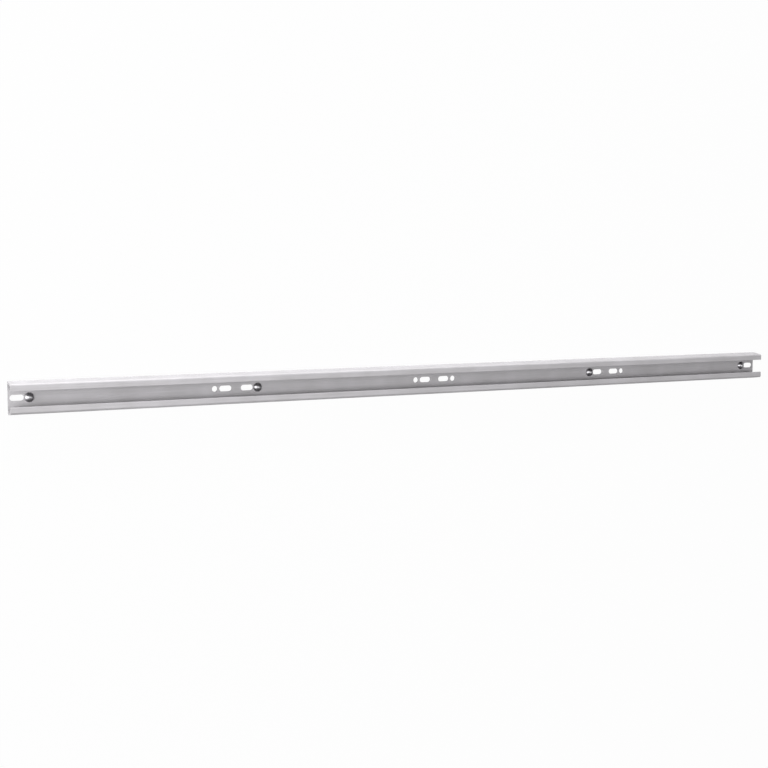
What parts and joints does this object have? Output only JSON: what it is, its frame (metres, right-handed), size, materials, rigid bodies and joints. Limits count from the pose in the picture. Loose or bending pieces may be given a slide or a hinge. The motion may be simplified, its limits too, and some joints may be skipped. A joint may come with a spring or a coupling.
{
  "type": "cable support rail",
  "caption": "Straight C-section steel rail with leaning flanges and inward lips; its web is slotted and drilled for fixing and carries four dark domed rivets, and cable clamps hook into the mouth along its front.",
  "frame": {"origin": "middle of the web's back face, on the surface that the rail lies on", "axes": "+X along the rail, +Y across it, +Z from the web's back face towards the mouth"},
  "size_m": [0.993, 0.035, 0.018],
  "materials": {
    "zinc_plated_steel": "matt bright zinc plating on rolled strip",
    "black_oxide_steel": "oiled black oxide on cold-headed steel, glossy"
  },
  "bodies": {
    "root": {"rail": "zinc_plated_steel", "rivet_left_end": "black_oxide_steel", "rivet_left": "black_oxide_steel", "rivet_right": "black_oxide_steel", "rivet_right_end": "black_oxide_steel"}
  },
  "joints": []
}
